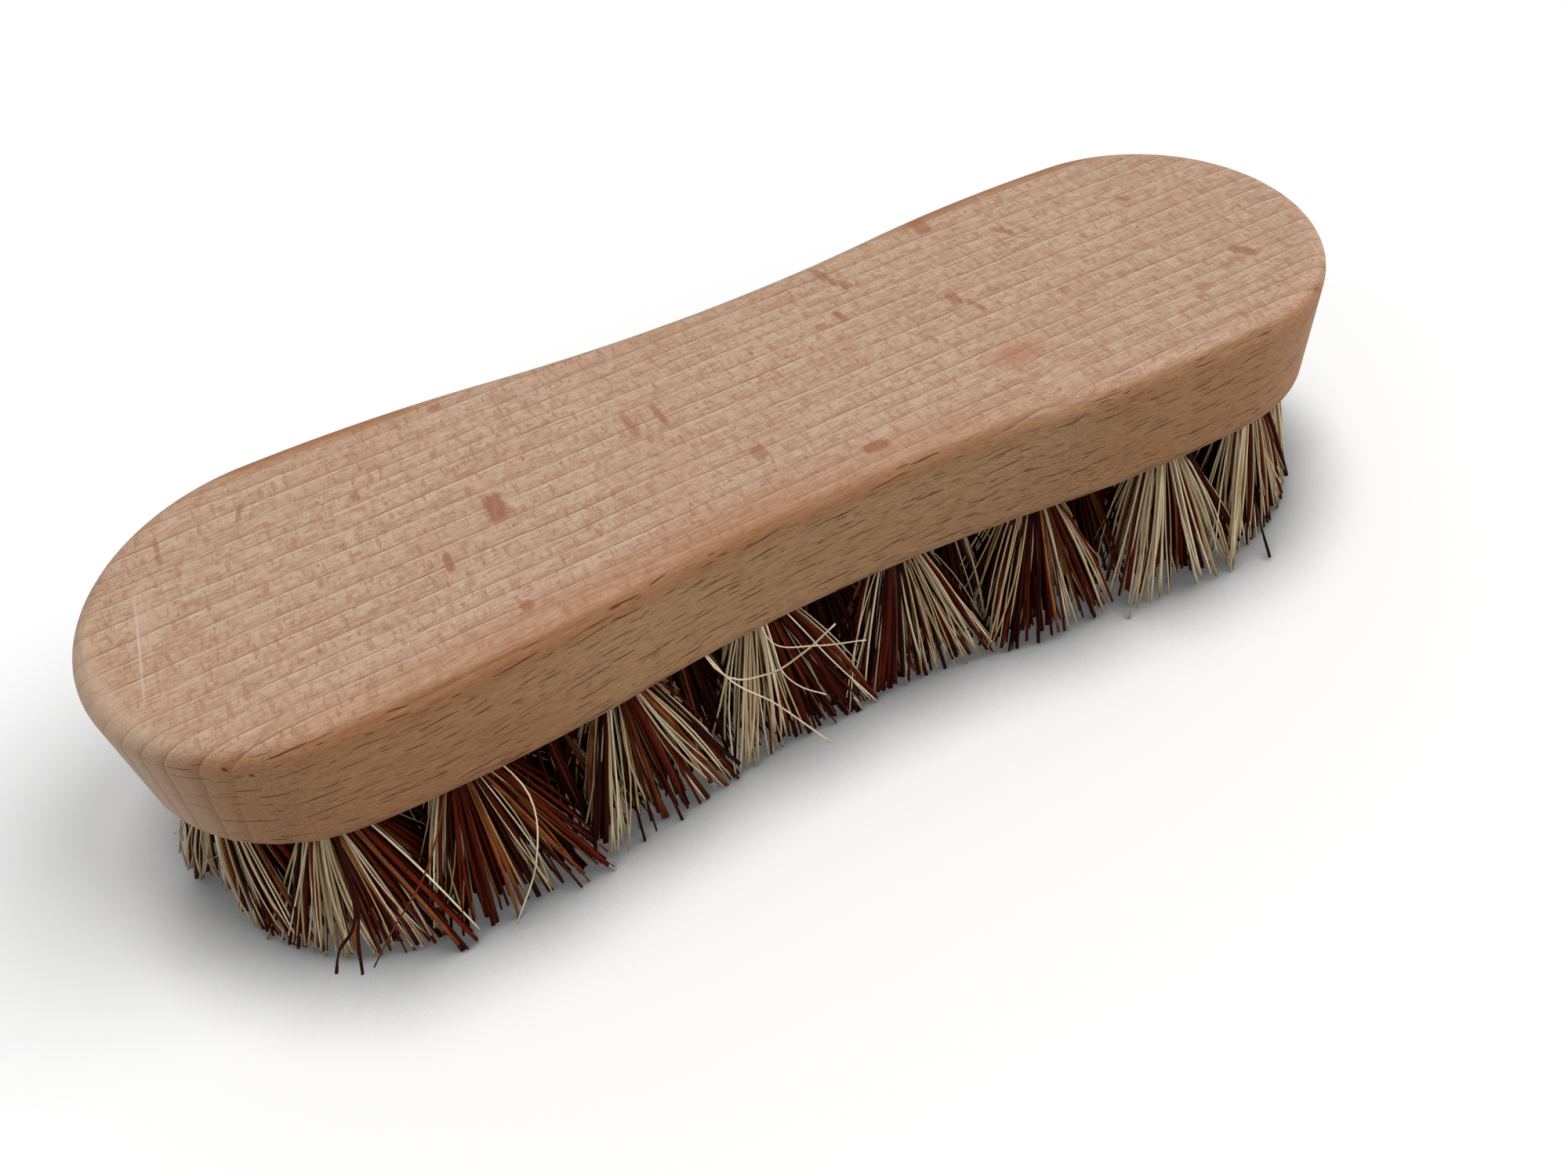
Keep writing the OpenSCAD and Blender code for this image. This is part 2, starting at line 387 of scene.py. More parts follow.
# %% Streaks along the grain
def add_streaks(wood, at):
    """Streaks from broad to fine, the weave that small rays lay across them, and patches."""
    x, y, z, across = at.x, at.y, at.z, at.across
    at.long_streak = wood.noise(wood.vector(x * 0.09, across * 1.25, z * 1.25), detail=4.0, rough=0.75)
    at.streak = wood.noise(wood.vector(x * 0.30, across * 3.0, z * 3.0), detail=3.0, rough=0.65)
    at.hair = wood.noise(wood.vector(x * 0.45, across * 5.0, z * 5.0), detail=2.0, rough=0.6)
    at.weave = wood.noise(wood.vector(x * 2.0, y * 0.40, z * 2.0), detail=3.0, rough=0.75)
    at.patches = wood.noise(at.place * 0.35, detail=2.0)
    at.grit = wood.noise(at.place * 4.5, detail=2.0, rough=0.7)
    at.blotch = wood.noise(at.place * 0.04, detail=3.0, rough=0.6)
    at.ragged = wood.noise(wood.vector(x * 2.6, y * 0.9, z * 2.6), detail=3.0, rough=0.7) - 0.5


# %% Rays
def add_rays(wood, at):
    """Flecks of three sizes and small tiles on the flat faces, and dashes on the sides."""
    x, y, z, ragged = at.x, at.y, at.z, at.ragged
    tile_place = wood.vector(x / 1.05 + ragged * 0.35, at.across / 1.6 + ragged * 0.2, 0.0)
    settings = {"voronoi_dimensions": "2D", "distance": "CHEBYCHEV"}
    sockets = {"Vector": tile_place, "Scale": 1.0}
    at.tile = wood.node("ShaderNodeTexVoronoi", settings, sockets, output="Color").parts()[0]

    small_fleck = wood.marks(x, y, (2.2, 3.4), (0.55, 1.8), ragged * 2.0)
    speck = wood.marks(x + 11.0, y, (2.1, 1.7), (0.42, 0.50), ragged * 1.5)
    at.small_fleck = small_fleck * small_fleck * at.flat
    at.speck = speck * speck * at.flat
    wobble = wood.vector(x + ragged * 1.1, y + ragged * 1.6, 0.0)
    at.fleck = large_flecks(wood, wobble) * (at.weave * 1.3 + 0.30) * at.flat

    # A slow rise and fall keeps the rows of dashes from lining up
    swell = (wood.noise(wood.vector(x * 0.06, 0.0, 3.0), detail=2.0) - 0.5) * 3.0
    level = z - x * CLIMB + swell
    dash = wood.marks(x, level, (9.4, 2.4), (4.0, 0.13), ragged * 0.30)
    short_dash = wood.marks(x + 31.0, level, (5.4, 2.0), (1.6, 0.10), ragged * 0.30)
    at.dash = dash.larger(short_dash * 0.7).between(0.04, 0.26) * at.side


# %% [markdown]
# ## The colours of the wood
# The colour is built like paint, in thin layers over the tone of early and late wood. A
# layer is a colour and a share, which says where it lies and how strongly. Layers of one
# kind stand in a list, so that their order can be read at a glance.


# %% The grain
def grain_colour(wood, at):
    """Early and late wood, with patches, streaks, lines and flecks laid over them."""
    ground = wood.mix(srgb(205, 171, 145), srgb(189, 153, 125), at.late * (at.crossing * 0.60 + 0.22))
    layers = (
        # Patches, then streaks and hairs along the grain
        ((214, 186, 163), at.patches.between(0.5, 0.75) * 0.22 * at.flat),
        ((166, 128, 100), at.long_streak.between(0.50, 0.66) * (0.60 - at.wall * 0.30)),
        ((216, 186, 160), at.long_streak.between(0.48, 0.30) * 0.40),
        ((190, 146, 120), at.blotch.between(0.45, 0.7) * 0.35),
        ((156, 118, 90), at.streak.between(0.50, 0.72) * (0.50 - at.wall * 0.28)),
        ((222, 194, 168), at.streak.between(0.46, 0.28) * 0.35),
        ((150, 110, 82), at.hair.between(0.53, 0.66) * 0.62),
        ((226, 200, 176), at.hair.between(0.46, 0.32) * 0.42),
        # The weave of small rays on the flat faces
        ((164, 122, 97), at.weave.between(0.50, 0.70) * 0.66 * at.flat),
        ((166, 124, 98), at.tile.between(0.65, 1.0) * 0.22 * at.flat),
        ((218, 190, 168), at.tile.between(0.35, 0.0) * 0.16 * at.flat),
        # The lines where one ring ends and the next begins, and the pale band after each: partly early wood,
        # partly a painted glint
        ((146, 108, 80), at.line * (at.facing_z * 0.36 + 0.24)),
        ((228, 202, 178), at.pale_line * (at.streak * 0.7 + 0.10)),
        # Flecks, the largest last
        ((168, 118, 94), at.small_fleck * 0.55),
        ((160, 108, 84), at.speck * 0.60),
        ((160, 106, 80), at.fleck * 0.88),
    )
    for colour, share in layers:
        ground = wood.mix(ground, srgb(*colour), share)
    return ground


# %% The knot and the scratch
def add_scars(wood, at, ground):
    """The knot with a pale patch below it, and a scratch across the grain near the left end."""
    x, y, ragged = at.x, at.y, at.ragged
    knot_x, knot_y = (x - KNOT[0]) / 4.8, (y - KNOT[1]) / 3.3
    knot = wood.vector(knot_x + ragged * 0.6, knot_y + ragged * 0.5, 0.0).length().between(1.25, 0.3)
    ground = wood.mix(ground, srgb(180, 120, 90), knot * 0.58 * at.flat)

    patch_x, patch_y = (x - BLEACHED[0]) / 3.4, (y - BLEACHED[1]) / 3.2
    bleached = wood.vector(patch_x + ragged, patch_y + ragged, 0.0).length().between(1.2, 0.2)
    ground = wood.mix(ground, srgb(226, 198, 178), bleached * at.streak * 0.45 * at.flat)

    off_x, off_y = x - SCRATCH[0], y - SCRATCH[1]
    from_scratch = off_x - off_y * SCRATCH_LEAN
    scratch = from_scratch.absolute().between(0.28, 0.05) * off_y.absolute().between(11.0, 8.0)
    haze = (from_scratch - HAZE_BESIDE).absolute().between(2.4, 0.2)
    haze = haze * (y - HAZE_Y).absolute().between(8.0, 2.0)
    scraped = (scratch * 0.9 + haze * 0.35) * at.patches * at.flat
    return wood.mix(ground, srgb(232, 208, 188), scraped)


# %% Edge tints, walls and ends, with painted light and shade
def add_wear_and_painted_light(wood, at, ground, warm):
    """Warmer edges; long sides browner and darker than the back, partly their own colour and partly painted
    shade; painted light on the ends.
    """
    ground = wood.mix(ground, srgb(168, 113, 76), warm)
    shades = (
        # The long walls, browner and darker: partly their own colour and partly painted shade; painted shade low
        # down, and darker towards the ends
        ((0.825, 0.71, 0.53), at.wall),
        ((0.94, 0.91, 0.88), at.wall * at.z.between(41.0, 31.0)),
        ((0.93, 0.85, 0.79), at.wall * at.x.absolute().between(32.0, 58.0)),
        # Dashes, and late wood where a wall cuts across the rings
        ((0.23, 0.12, 0.06), at.dash * 0.95),
        ((0.74, 0.66, 0.58), at.late * at.late * at.crossing * at.upright * 0.80),
    )
    for shade, share in shades:
        ground = wood.mix(ground, (*shade, 1.0), share, "MULTIPLY")
    # Painted light: the end faces are made lighter
    ground = wood.mix(ground, srgb(226, 196, 170), at.end * 0.45)
    for along, height, reach in PITS:
        turn_to = along / END_R
        pit_at = (-end_centre[0] - END_R * math.cos(turn_to), -END_R * math.sin(turn_to), height)
        pit = (at.place - pit_at).length().between(reach, reach * 0.4)
        ground = wood.mix(ground, (0.30, 0.20, 0.14, 1.0), pit, "MULTIPLY")
    # Scuffs on the underside edge, and at the left end's top edge wear with a painted highlight
    return wood.mix(ground, srgb(214, 186, 160), wood.attribute("scuffed") * (at.streak + 0.1))


# %% The beech finish
def beech():
    """The whole finish: colour in layers, and a relief of the same lines, streaks and rays."""
    wood = Finish("beech")
    at = place_in_wood(wood)
    add_streaks(wood, at)
    add_rays(wood, at)
    warm = wood.attribute("warmth") * at.blotch.between(0.25, 0.6, 0.65, 1.0) * (at.streak * 0.5 + 0.7)
    ground = add_wear_and_painted_light(wood, at, add_scars(wood, at, grain_colour(wood, at)), warm)
    relief = at.pale_line * 0.4 - at.line * 0.5 - at.dash * 1.2 - at.fleck * 0.3
    relief = relief + at.streak * 0.6 + at.long_streak * 0.5 + at.weave * 0.35 + at.grit * 0.4
    return wood.surface(
        {
            "Base Color": ground,
            "Roughness": at.streak * 0.15 + 0.52 - warm * 0.06,
            "Normal": wood.bump(relief, 0.12 * MM, 0.9),
            "Specular IOR Level": 0.2,
        }
    )


beech_finish = beech()
print("nodes in the beech finish:", len(beech_finish.node_tree.nodes))

# %% [markdown]
# ## The block
# The skin is a stack of outlines, each drawn in by its own inset: a broken edge round the
# underside, upright walls, a round-over, and a flat back. Neighbouring outlines have the
# same number of points, so joining them is a matter of counting. Arcs keep their centres
# when they are drawn in, which keeps every layer true to the first. The holes are then
# cut with a Boolean, because a drill does the same.


# %% The outline
def arc(centre, radius, start, stop, step):
    count = math.ceil(abs(stop - start) / step)
    angles = start + (stop - start) * np.arange(count) / count
    return centre + radius * np.stack([np.cos(angles), np.sin(angles)], 1)


def outline(inset):
    """The block seen from above, drawn in by inset, counterclockwise from the middle of one end."""
    end_turn = math.atan2(*(end_centre - bulge_centre)[::-1])
    waist_turn = math.atan2(*(waist_centre - bulge_centre)[::-1])
    quarter = np.concatenate(
        [
            arc(end_centre, END_R - inset, 0.0, end_turn, math.radians(2.0)),
            arc(bulge_centre, BULGE_R - inset, end_turn, waist_turn, math.radians(0.5)),
            arc(waist_centre, WAIST_R + inset, waist_turn - math.pi, -math.pi / 2, math.radians(0.5)),
        ]
    )
    middle = np.array([[0.0, HALF_WAIST - inset]])
    half = np.concatenate([quarter, middle, quarter[:0:-1] * (-1, 1)])
    return np.concatenate([half, -half])


ring_size = len(outline(0.0))
print("points in one outline:", ring_size)


# %% Warm edges, scuffs and a painted highlight
def soft_step(value, low, high):
    """0 at low and 1 at high, with a smooth passage, as the shader's own step."""
    share = np.clip((np.asarray(value, float) - low) / (high - low), 0, 1)
    return share * share * (3 - 2 * share)


def edge_tint_and_highlight(ring, height, inset):
    """Warmth of the round-over, and the scuffs of its edges with a painted highlight at the left end, for the
    points of one outline.
    """
    x, y = ring[:, 0], ring[:, 1]
    round_from = BACK - TOP_ROUND
    rounded = soft_step(height, round_from - 2.0, round_from + 0.8)

    # The near side is rubbed along its middle; the far side is warmer at both bulges
    near_side = soft_step(-y, 8, 24) * soft_step(x, -84, -62) * soft_step(x, 46, 14)
    left_bulge = soft_step(x, -82, -70) * soft_step(x, -38, -48)
    right_bulge = soft_step(x, 34, 46) * soft_step(x, 84, 74)
    far_side = soft_step(y, 20, 25) * np.maximum(left_bulge, right_bulge)
    faded, far_faded = soft_step(inset, 8.6, 1.5), soft_step(inset, 5.2, 2.2)
    warmth = rounded * (near_side * faded * 0.42 + far_side * far_faded + faded * 0.14)

    # The left end's top edge: scuffs with a painted highlight where the ring ridges catch light
    left_end = soft_step(x, -84, -96) * soft_step(y, 14, 0)
    scuffed = left_end * soft_step(height, round_from + 1.0, BACK - 0.8) * soft_step(inset, 4.6, 3.0)
    broken_edge = soft_step(height, UNDERSIDE + 0.4, UNDERSIDE) * soft_step(-y, 5, 12)
    return warmth, np.maximum(scuffed * 0.7, broken_edge * 0.55)


# %% The skin of the block
FLAT_INSETS = (4.2, 5.0, 6.0, 7.2, 8.6)


def block_layers():
    """Inset and height of each outline from the underside to the back."""
    layers = [(EDGE_BREAK, UNDERSIDE), (EDGE_BREAK * 0.3, UNDERSIDE + EDGE_BREAK * 0.35)]
    layers += [(0.0, height) for height in np.linspace(UNDERSIDE + EDGE_BREAK, BACK - TOP_ROUND, 12)]
    for turn in np.linspace(0, math.pi / 2, 10)[1:]:
        layers.append((TOP_ROUND * (1 - math.cos(turn)), BACK - TOP_ROUND * (1 - math.sin(turn))))
    return layers + [(inset, BACK) for inset in FLAT_INSETS]


def skin_points(layers, torn):
    """Points, warmth, and scuffs with a painted highlight, of the skin. torn roughens the edge round the
    underside, in millimetres.
    """
    rng = np.random.default_rng(7)
    rings, warmth, scuffed = [], [], []
    for inset, height in layers:
        ring = outline(inset)
        warm, worn_and_highlit = edge_tint_and_highlight(ring, height, inset)
        if height < UNDERSIDE + EDGE_BREAK / 2:
            chip = rng.normal(0, torn, len(ring))
            chip = (chip + np.roll(chip, 1)) / 2
            ring = ring + np.sign(ring) * 0.5 * chip[:, None]
        rings.append(np.column_stack([ring, np.full(len(ring), height)]))
        warmth.append(warm)
        scuffed.append(worn_and_highlit)
    return np.concatenate(rings), np.concatenate(warmth), np.concatenate(scuffed)


def skin_faces(layer_count):
    """Walls between neighbouring outlines, and strips straight across the underside and the back."""
    n = ring_size
    faces = []
    for layer in range(layer_count - 1):
        for i in range(n):
            a, b = layer * n + i, layer * n + (i + 1) % n
            faces.append((a, b, b + n, a + n))
    top = (layer_count - 1) * n
    for i in range(n // 2):
        a, b, c, d = i, i + 1, n - i - 1, (n - i) % n
        if a == d:
            corners = [a, b, c]
        elif b == c:
            corners = [a, b, d]
        else:
            corners = [a, b, c, d]
        faces.append(tuple(reversed(corners)))
        faces.append(tuple(top + corner for corner in corners))
    return faces


def new_piece(name, points, faces, finish):
    """A mesh object from points in millimetres."""
    mesh = bpy.data.meshes.new(name)
    mesh.from_pydata([tuple(p) for p in np.asarray(points) * MM], [], faces)
    mesh.materials.append(finish)
    piece = bpy.data.objects.new(name, mesh)
    bpy.context.scene.collection.objects.link(piece)
    return piece


def note_points(piece, name, values, kind="FLOAT"):
    """Writes a value, or a vector, to each point of a piece for its finish to read."""
    field = "value" if kind == "FLOAT" else "vector"
    piece.data.attributes.new(name, kind, "POINT").data.foreach_set(field, np.ravel(values))


layers = block_layers()
points, warmth, scuffed = skin_points(layers, torn=0.12)
faces = skin_faces(len(layers))
block = new_piece("beech_block", points, faces, beech_finish)
note_points(block, "warmth", warmth)
note_points(block, "scuffed", scuffed)
print("faces in the skin:", len(faces))

# %% [markdown]
# ## The holes
# The places of the holes are found in the frame: the highest points of each tuft's solid
# lie on the end of its root, a disc in the middle of the hole. All the cutters are joined
# into one mesh, so the Boolean runs only once.

# %% Where the tufts are
SAME_HEIGHT = 0.01
tuft_names = sorted(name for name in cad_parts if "_tuft_" in name)
holes = {}
for name in tuft_names:
    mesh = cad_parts[name].data
    at = np.empty(len(mesh.vertices) * 3)
    mesh.vertices.foreach_get("co", at)
    at = at.reshape(-1, 3) / MM
    root_end = at[at[:, 2] > at[:, 2].max() - SAME_HEIGHT][:, :2]
    holes[name] = (root_end.min(0) + root_end.max(0)) / 2
print("holes:", len(holes), "first at", holes[tuft_names[0]].round(2))


# %% Drill the holes
DRILL_POINT = 1.5
SHARP_EDGE = math.radians(35)


def drill_bits(centres, sides=40):
    """One mesh with a pointed cutter for each hole."""
    angles = np.arange(sides) * 2 * math.pi / sides
    circle = np.stack([np.cos(angles), np.sin(angles)], 1) * HOLE_R
    points, faces = [], []
    for centre in centres:
        first = len(points)
        for height in (UNDERSIDE - 1.0, UNDERSIDE + HOLE_DEPTH):
            points += [(*(centre + c), height) for c in circle]
        points.append((*centre, UNDERSIDE + HOLE_DEPTH + DRILL_POINT))
        for i in range(sides):
            a, b = first + i, first + (i + 1) % sides
            faces += [(a, b, b + sides, a + sides), (a + sides, b + sides, first + 2 * sides)]
        faces.append(tuple(range(first + sides - 1, first - 1, -1)))
    return points, faces


bits = new_piece("drill_bits", *drill_bits(holes.values()), beech_finish)
cut = block.modifiers.new("drilling", "BOOLEAN")
cut.operation, cut.solver, cut.object = "DIFFERENCE", "EXACT", bits
drilled = bpy.data.meshes.new_from_object(block.evaluated_get(bpy.context.evaluated_depsgraph_get()))
block.modifiers.clear()
block.data = drilled
bpy.data.objects.remove(bits)
drilled.shade_smooth()
drilled.set_sharp_from_angle(angle=SHARP_EDGE)
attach(block, "root")
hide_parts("block")
print("faces after drilling:", len(drilled.polygons), "warmth kept:", "warmth" in drilled.attributes)

# %% [markdown]
# ## Fibre
# A tuft mixes two plants: thin pale leaf fibre and thick dark palm fibre. Every fibre
# carries its own kind and tone as attributes of its points, so one finish serves them
# all. Streaks run along a fibre, so their pattern is stretched in that direction.


# %% The fibre finish
def plant_fibre():
    """Pale, dark and rust fibres, each streaked along its length and lighter or darker by its tone."""
    fibre = Finish("plant_fibre")
    kind, tone = fibre.attribute("kind"), fibre.attribute("tone")
    place = fibre.attribute("strand_place", "Vector")
    around, along, number = place.parts()
    streaks = fibre.noise(fibre.vector(around * 3.0, along * 0.22, number * 17.0), detail=4.0, rough=0.65)
    specks = fibre.noise(fibre.vector(around * 2.0, along * 1.6, number * 31.0), detail=3.0, rough=0.7)

    pale = fibre.mix(srgb(246, 228, 196), srgb(188, 160, 112), tone)
    pale = fibre.mix(pale, srgb(136, 112, 72), streaks.between(0.5, 0.72) * 0.5)
    dark = fibre.mix(srgb(32, 4, 2), srgb(108, 34, 13), tone)
    dark = fibre.mix(dark, srgb(138, 66, 32), streaks.between(0.55, 0.75) * tone * 0.7)
    dark = fibre.mix(dark, srgb(22, 6, 5), specks.between(0.55, 0.7) * 0.7)
    rust = fibre.mix(srgb(104, 48, 24), srgb(154, 92, 50), tone)
    rust = fibre.mix(rust, srgb(66, 24, 12), streaks.between(0.5, 0.68) * 0.8)
    colour = fibre.mix(pale, dark, kind.between(0.25, 0.3))
    colour = fibre.mix(colour, rust, kind.between(0.7, 0.75))
    return fibre.surface(
        {
            "Base Color": colour,
            "Roughness": streaks * 0.25 + 0.48,
            "Normal": fibre.bump(streaks + specks * 0.5, 0.06 * MM, 0.6),
            "Specular IOR Level": 0.06,
        }
    )


fibre_finish = plant_fibre()
print("nodes in the fibre finish:", len(fibre_finish.node_tree.nodes))

# %% [markdown]
# ## The tufts
# A tuft is folded into its hole, so its fibres leave side by side and then splay, the
# outermost the furthest. Each fibre is a curve swept with a small flattened ring. A
# particle system could scatter them, but sweeping each one in code gives a closed mesh
# that any other program can read, and lets every fibre end in a clean cut.

# %% Sizes of the fibres
FIBRES = {"outer": 350, "middle": 230, "centre": 170}
RINGS_BELOW = 8
HOLE_START = 3.0
PALE_WIDTH, DARK_WIDTH = (0.22, 0.44), (0.38, 0.95)

# The kinds, as the finish reads them, and their shares
PALE, DARK, RUST = 0.0, 0.5, 1.0
# The inner rows take fewer pale fibres and darker tones: painted shade between the rows
PALE_SHARE_WITH_PAINTED_SHADE = {"outer": 0.50, "middle": 0.16, "centre": 0.14}
RUST_SHARE = 0.20
CLUMPING = 5.2
TONE_REACH_WITH_PAINTED_SHADE = {"outer": 1.0, "middle": 0.4, "centre": 0.4}

# How far tips splay along and across the row, and lean out of it
SPLAY_ALONG, SPLAY_ACROSS = 13.2, 11.0
SPLAY_LUCK = (0.90, 1.10)
LEAN = {"outer": 1.8, "middle": 6.4, "centre": 0.0}
SQUARENESS, CROWDING = 0.9, 0.43
TUFT_SHIFT = 0.9
TIP_SHIFT = {"pale": 1.3, "dark": 0.8}
SPRUNG_SHARE, SPRUNG_REACH = 0.08, 3.6

# How fibres fall short of the floor, bow, and open from the hole
SHORT_BY, MOST_SHORT_BY, SPRUNG_SHORT_BY = 1.7, 5, 7
BOW = {"pale": 0.6, "dark": 0.4}
OPENING = (0.78, 1.02)
GOLDEN_TURN, FULL_TURN = 2.39996, 6.28
print("fibres in all:", sum(FIBRES[name.split("_")[0]] for name in tuft_names))


# %% How far tips may reach
PAST_WAIST, PAST_BULGE, PAST_END = 1.6, 4.6, 3.0
DRAWN_IN = 0.8
quarter_wall = outline(0.0)[: ring_size // 4][::-1]
print("reach past the end in mm:", PAST_END)


def held_in(centre, tip):
    """Draws tips in where they would reach too far past the block. They reach further at the bulges."""
    reached = centre + tip
    along = np.abs(reached[:, 0])
    half_width = np.interp(along, quarter_wall[:, 0], quarter_wall[:, 1])
    at_bulge = soft_step(along, 8, 55) * soft_step(along, 95, 70)
    allowed = half_width + PAST_WAIST + PAST_BULGE * at_bulge
    outward = np.clip(np.abs(reached[:, 1]) - allowed, 0, None)
    reached[:, 1] -= np.sign(reached[:, 1]) * outward * DRAWN_IN
    middle = np.sign(reached[:, :1]) * end_centre
    from_end = reached - middle
    distance = np.maximum(np.hypot(*from_end.T), 0.001)
    scale = DRAWN_IN * (END_R + PAST_END) / distance + 1 - DRAWN_IN
    beyond = (along > end_centre[0]) & (scale < 1)
    reached[beyond] = (middle + from_end * scale[:, None])[beyond]
    return reached - centre


def across_the_row(centre):
    """The direction straight out of the block at a tuft."""
    nearest = np.array([np.clip(centre[0], -end_centre[0], end_centre[0]), 0.0])
    out = centre - nearest
    size = np.hypot(*out)
    return out / size if size > 1 else np.array([0.0, 1.0])


# %% Kinds and tips of the fibres in a tuft
def fibre_kinds(spot, row, rng):
    """Kind, width and tone of each fibre. A kind keeps together, as in a bundle picked up by hand."""
    count = len(spot)
    clump = sum(np.cos(spot @ rng.normal(0, CLUMPING, 2) + rng.uniform(0, FULL_TURN)) for _ in range(3))
    rank = clump + rng.normal(0, 0.7, count)
    # In the inner rows fewer pale fibres and darker tones stand in as painted shade
    kind = np.where(rank > np.quantile(rank, PALE_SHARE_WITH_PAINTED_SHADE[row]), DARK, PALE)
    kind = np.where((kind == DARK) & (rng.random(count) < RUST_SHARE), RUST, kind)
    pale = kind == PALE
    width = np.where(pale, rng.uniform(*PALE_WIDTH, count), rng.uniform(*DARK_WIDTH, count))
    tone = rng.random(count) ** np.where(pale, 1.0, 1.7) * TONE_REACH_WITH_PAINTED_SHADE[row]
    return kind, width, tone


def fibre_tips(centre, spot, row, pale, rng):
    """Where each fibre ends, seen from the middle of its hole, and which ones have sprung."""
    # A round bundle opens into a square one, so that its neighbours leave no gap at the tips
    out = across_the_row(centre)
    frame_of_row = np.array([(out[1], -out[0]), out])
    local = spot @ frame_of_row.T
    square = local / np.sqrt(np.clip(1 - SQUARENESS * local[:, ::-1] ** 2, 0.1, 1))
    splay = (SPLAY_ALONG, SPLAY_ACROSS) * rng.uniform(*SPLAY_LUCK, 2)
    tip = (square * splay + (0.0, LEAN[row]) + rng.normal(0, TUFT_SHIFT, 2)) @ frame_of_row
    shift = np.where(pale, TIP_SHIFT["pale"], TIP_SHIFT["dark"])
    tip = tip + rng.normal(0, 1, spot.shape) * shift[:, None]

    # A few thin pale fibres have sprung across their neighbours
    sprung = pale & (rng.random(len(spot)) < SPRUNG_SHARE) & (row == "outer")
    tip = tip + rng.normal(0, SPRUNG_REACH, spot.shape) * sprung[:, None]
    return held_in(centre, tip), sprung


# %% One tuft
def tuft_paths(name, rng):
    """Centre line, thickness, kind and tone of each fibre in a tuft."""
    centre, row = holes[name], name.split("_")[0]
    count = FIBRES[row]
    order = np.arange(count)
    reach = ((order + 0.5) / count) ** CROWDING
    angle = order * GOLDEN_TURN + rng.uniform(0, FULL_TURN)
    spot = np.stack([np.cos(angle), np.sin(angle)], 1) * reach[:, None]
    root = spot * (HOLE_R - 0.3)
    kind, width, tone = fibre_kinds(spot, row, rng)
    pale = kind == PALE
    tip, sprung = fibre_tips(centre, spot, row, pale, rng)
    width = np.where(sprung, PALE_WIDTH[0], width)
    end_height = np.clip(np.abs(rng.normal(0, SHORT_BY, count)), 0, MOST_SHORT_BY)
    end_height += rng.uniform(0, SPRUNG_SHORT_BY, count) * sprung
    bow = rng.normal(0, 1, (count, 2)) * np.where(pale, BOW["pale"], BOW["dark"])[:, None]
    opening = rng.uniform(*OPENING, count)

    paths = []
    steps = np.linspace(0, 1, RINGS_BELOW)
    arched = np.sin(math.pi * steps)[:, None]
    for i in range(count):
        opened = (steps ** opening[i])[:, None]
        below = root[i] + (tip[i] - root[i]) * opened + bow[i] * arched
        heights = UNDERSIDE + (end_height[i] - UNDERSIDE) * steps
        start = np.array([[*(centre + root[i] * 0.97), UNDERSIDE + HOLE_START]])
        paths.append(np.concatenate([start, np.column_stack([centre + below, heights])]))
    return paths, width, kind, tone


# %% [markdown]
# ## Loose fibres
# A used brush has a few fibres that have sprung far out of line, where a random draw would
# put them anywhere. Each is given by the points that it passes, and belongs to the tuft
# nearest to where it starts.

# %% The loose fibres
# Kind, width, and the points of each in millimetres
LOOSE = (
    (PALE, 0.3, ((-24, -21, 25), (-22.8, -28.6, 26.3), (-17.2, -33, 26.5), (-12.4, -36, 31.5), (-8.2, -38, 37))),
    (PALE, 0.26, ((-15.5, -21, 25), (-13.9, -27.5, 26.2), (-9, -32, 26.6), (-2.6, -36, 28))),
    (PALE, 0.28, ((-24, -20.5, 27), (-22.2, -28, 25), (-16, -32, 17.5), (-9.7, -36, 8))),
    (PALE, 0.28, ((-10.5, -21, 27), (-8.4, -27, 25), (-5.8, -31, 20), (-0.5, -34, 10))),
    (PALE, 0.22, ((-12, -20.5, 26), (-13.6, -28, 25.2), (-14, -31, 23), (-12.7, -34, 21.8), (-10.1, -37, 21.5))),
    (RUST, 0.44, ((-61, -21, 27), (-64.4, -29.5, 25.5), (-70.1, -34, 19.5), (-76.8, -36, 14), (-81.5, -37, 9))),
    (DARK, 0.46, ((-77, -22, 27), (-79.2, -31, 19), (-81.4, -36, 15), (-83, -38, 10.1))),
    (DARK, 0.50, ((-76, -22, 26), (-80.6, -31, 15), (-84.1, -36, 14.7), (-85.7, -37.5, 12.4))),
    (DARK, 0.50, ((79, -19, 26), (78.8, -24, 17), (78.6, -27.6, 10), (78.7, -31, 4.5), (77.1, -36.6, 0.6))),
    (PALE, 0.28, ((-53, -21, 26), (-53.6, -29, 20), (-56.2, -34, 11), (-62.5, -36, 1))),
)
LOOSE_TONE, LOOSE_ROWS = 0.1, 18
print("loose fibres:", len(LOOSE))


def curve_through(points, rows):
    """Evenly spaced places on a smooth curve through the points."""
    points = np.array(points)
    ends = np.concatenate([2 * points[:1] - points[1:2], points, 2 * points[-1:] - points[-2:-1]])
    path = []
    for where in np.linspace(0, len(points) - 1, rows):
        k = min(int(where), len(points) - 2)
        t, (p, a, b, q) = where - k, ends[k : k + 4]
        squared, cubed = 2 * p - 5 * a + 4 * b - q, 3 * a - p - 3 * b + q
        path.append(0.5 * (2 * a + (b - p) * t + squared * t**2 + cubed * t**3))
    return np.array(path)


def loose_ones(name):
    """Paths, widths and kinds of the loose fibres of one tuft."""
    found = []
    for kind, width, points in LOOSE:
        nearest = min(holes, key=lambda hole: math.dist(holes[hole], points[0][:2]))
        if nearest == name:
            into_hole = (*(holes[name] * 0.8 + np.array(points[0][:2]) * 0.2), UNDERSIDE + HOLE_START)
            found.append((curve_through((into_hole, *points[1:]), LOOSE_ROWS), width, kind))
    return found


